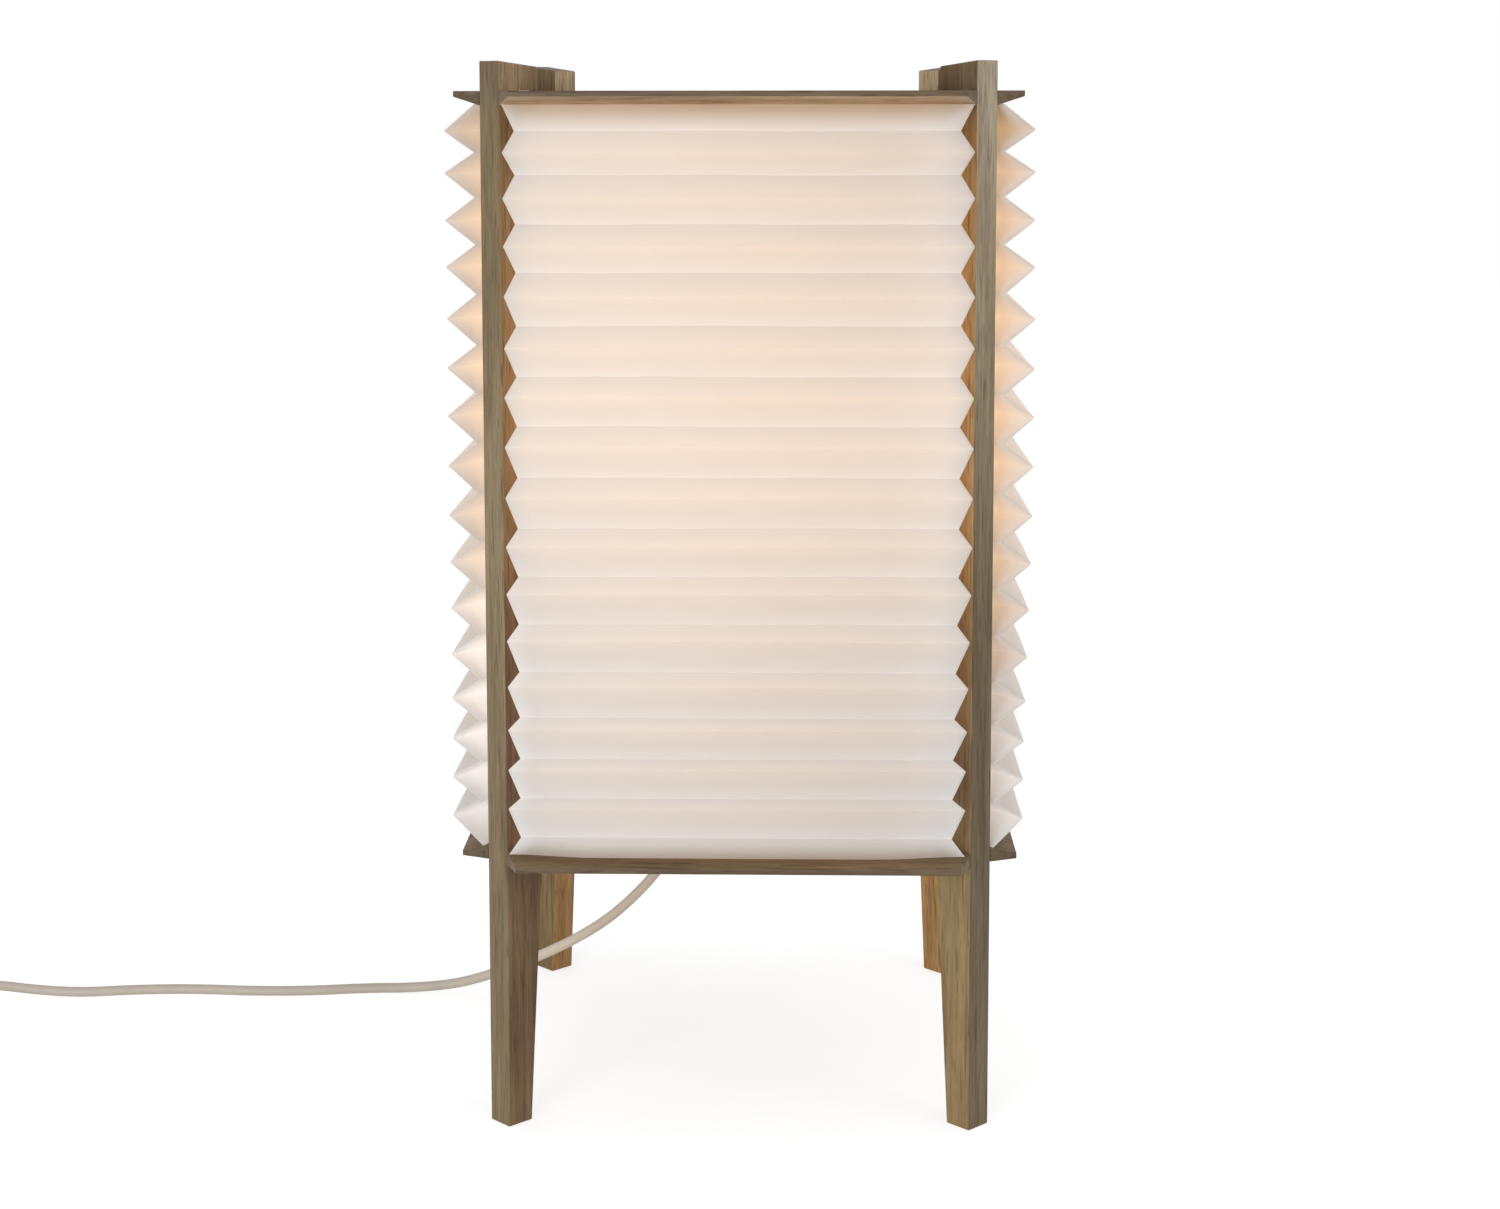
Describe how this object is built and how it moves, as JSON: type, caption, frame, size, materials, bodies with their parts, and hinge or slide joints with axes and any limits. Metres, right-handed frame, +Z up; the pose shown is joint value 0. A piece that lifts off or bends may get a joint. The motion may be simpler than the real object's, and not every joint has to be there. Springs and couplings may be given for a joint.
{
  "type": "table lamp",
  "caption": "Table lamp: a tall square shade of pleated paper between two bevelled boards on diagonal wooden legs, with bulb, flex, in-line switch and plug.",
  "frame": {"origin": "on the floor, under the middle of the lamp", "axes": "+Z up; +X to the right and +Y to the back, seen from the front; the cord leaves towards -X"},
  "size_m": [0.7978, 0.3116, 0.575],
  "materials": {
    "oak": "brushed oak with a thin matt oil",
    "shade_paper": "matt white translucent paper",
    "zinc_steel": "zinc plated",
    "contact_metal": "bright, nickel plated",
    "black_plastic": "satin",
    "ceramic": "unglazed white",
    "opal_glass": "opal, matt, lit",
    "bulb_collar": "white",
    "bulb_metal": "bright",
    "bulb_insulator": "black",
    "gland_plastic": "white, fine texture",
    "cord_sheath": "white, smooth",
    "switch_plastic": "white, satin",
    "rocker_plastic": "white, polished",
    "tie_plastic": "black",
    "plug_plastic": "white, fine texture",
    "sleeve_plastic": "white"
  },
  "bodies": {
    "lamp": {"leg_front_left": "oak", "leg_front_right": "oak", "leg_back_left": "oak", "leg_back_right": "oak", "top_plate": "oak", "bottom_plate": "oak", "pleated_shade": "shade_paper", "stem_tube": "zinc_steel", "stem_nuts": "zinc_steel", "stem_washers": "zinc_steel", "switch_screws": "zinc_steel", "terminal_screws": "zinc_steel", "switch_pin": "zinc_steel", "centre_contact": "contact_metal", "side_contact": "contact_metal", "switch_contacts": "contact_metal", "plug_pins": "contact_metal", "holder_cap": "black_plastic", "holder_skirt": "black_plastic", "contact_block": "ceramic", "bulb_globe": "opal_glass", "bulb_collar": "bulb_collar", "bulb_cap": "bulb_metal", "bulb_tip": "bulb_metal", "bulb_insulator": "bulb_insulator", "cord_gland": "gland_plastic", "gland_nut": "gland_plastic", "cord_lead": "cord_sheath", "cord_riser": "cord_sheath", "cord_link": "cord_sheath", "cord_tail": "cord_sheath", "cord_coil": "cord_sheath", "switch_base": "switch_plastic", "switch_cover": "switch_plastic", "coil_tie": "tie_plastic", "plug_body": "plug_plastic", "plug_sleeves": "sleeve_plastic"},
    "rocker": {"switch_rocker": "rocker_plastic"}
  },
  "joints": [
    {"name": "switch_rocker_tilt", "type": "hinge", "parent": "lamp", "child": "rocker", "pos_m": [-0.513, 0.062, 0.012], "axis": [0, 1, 0], "range_deg": [-18, 0]}
  ]
}
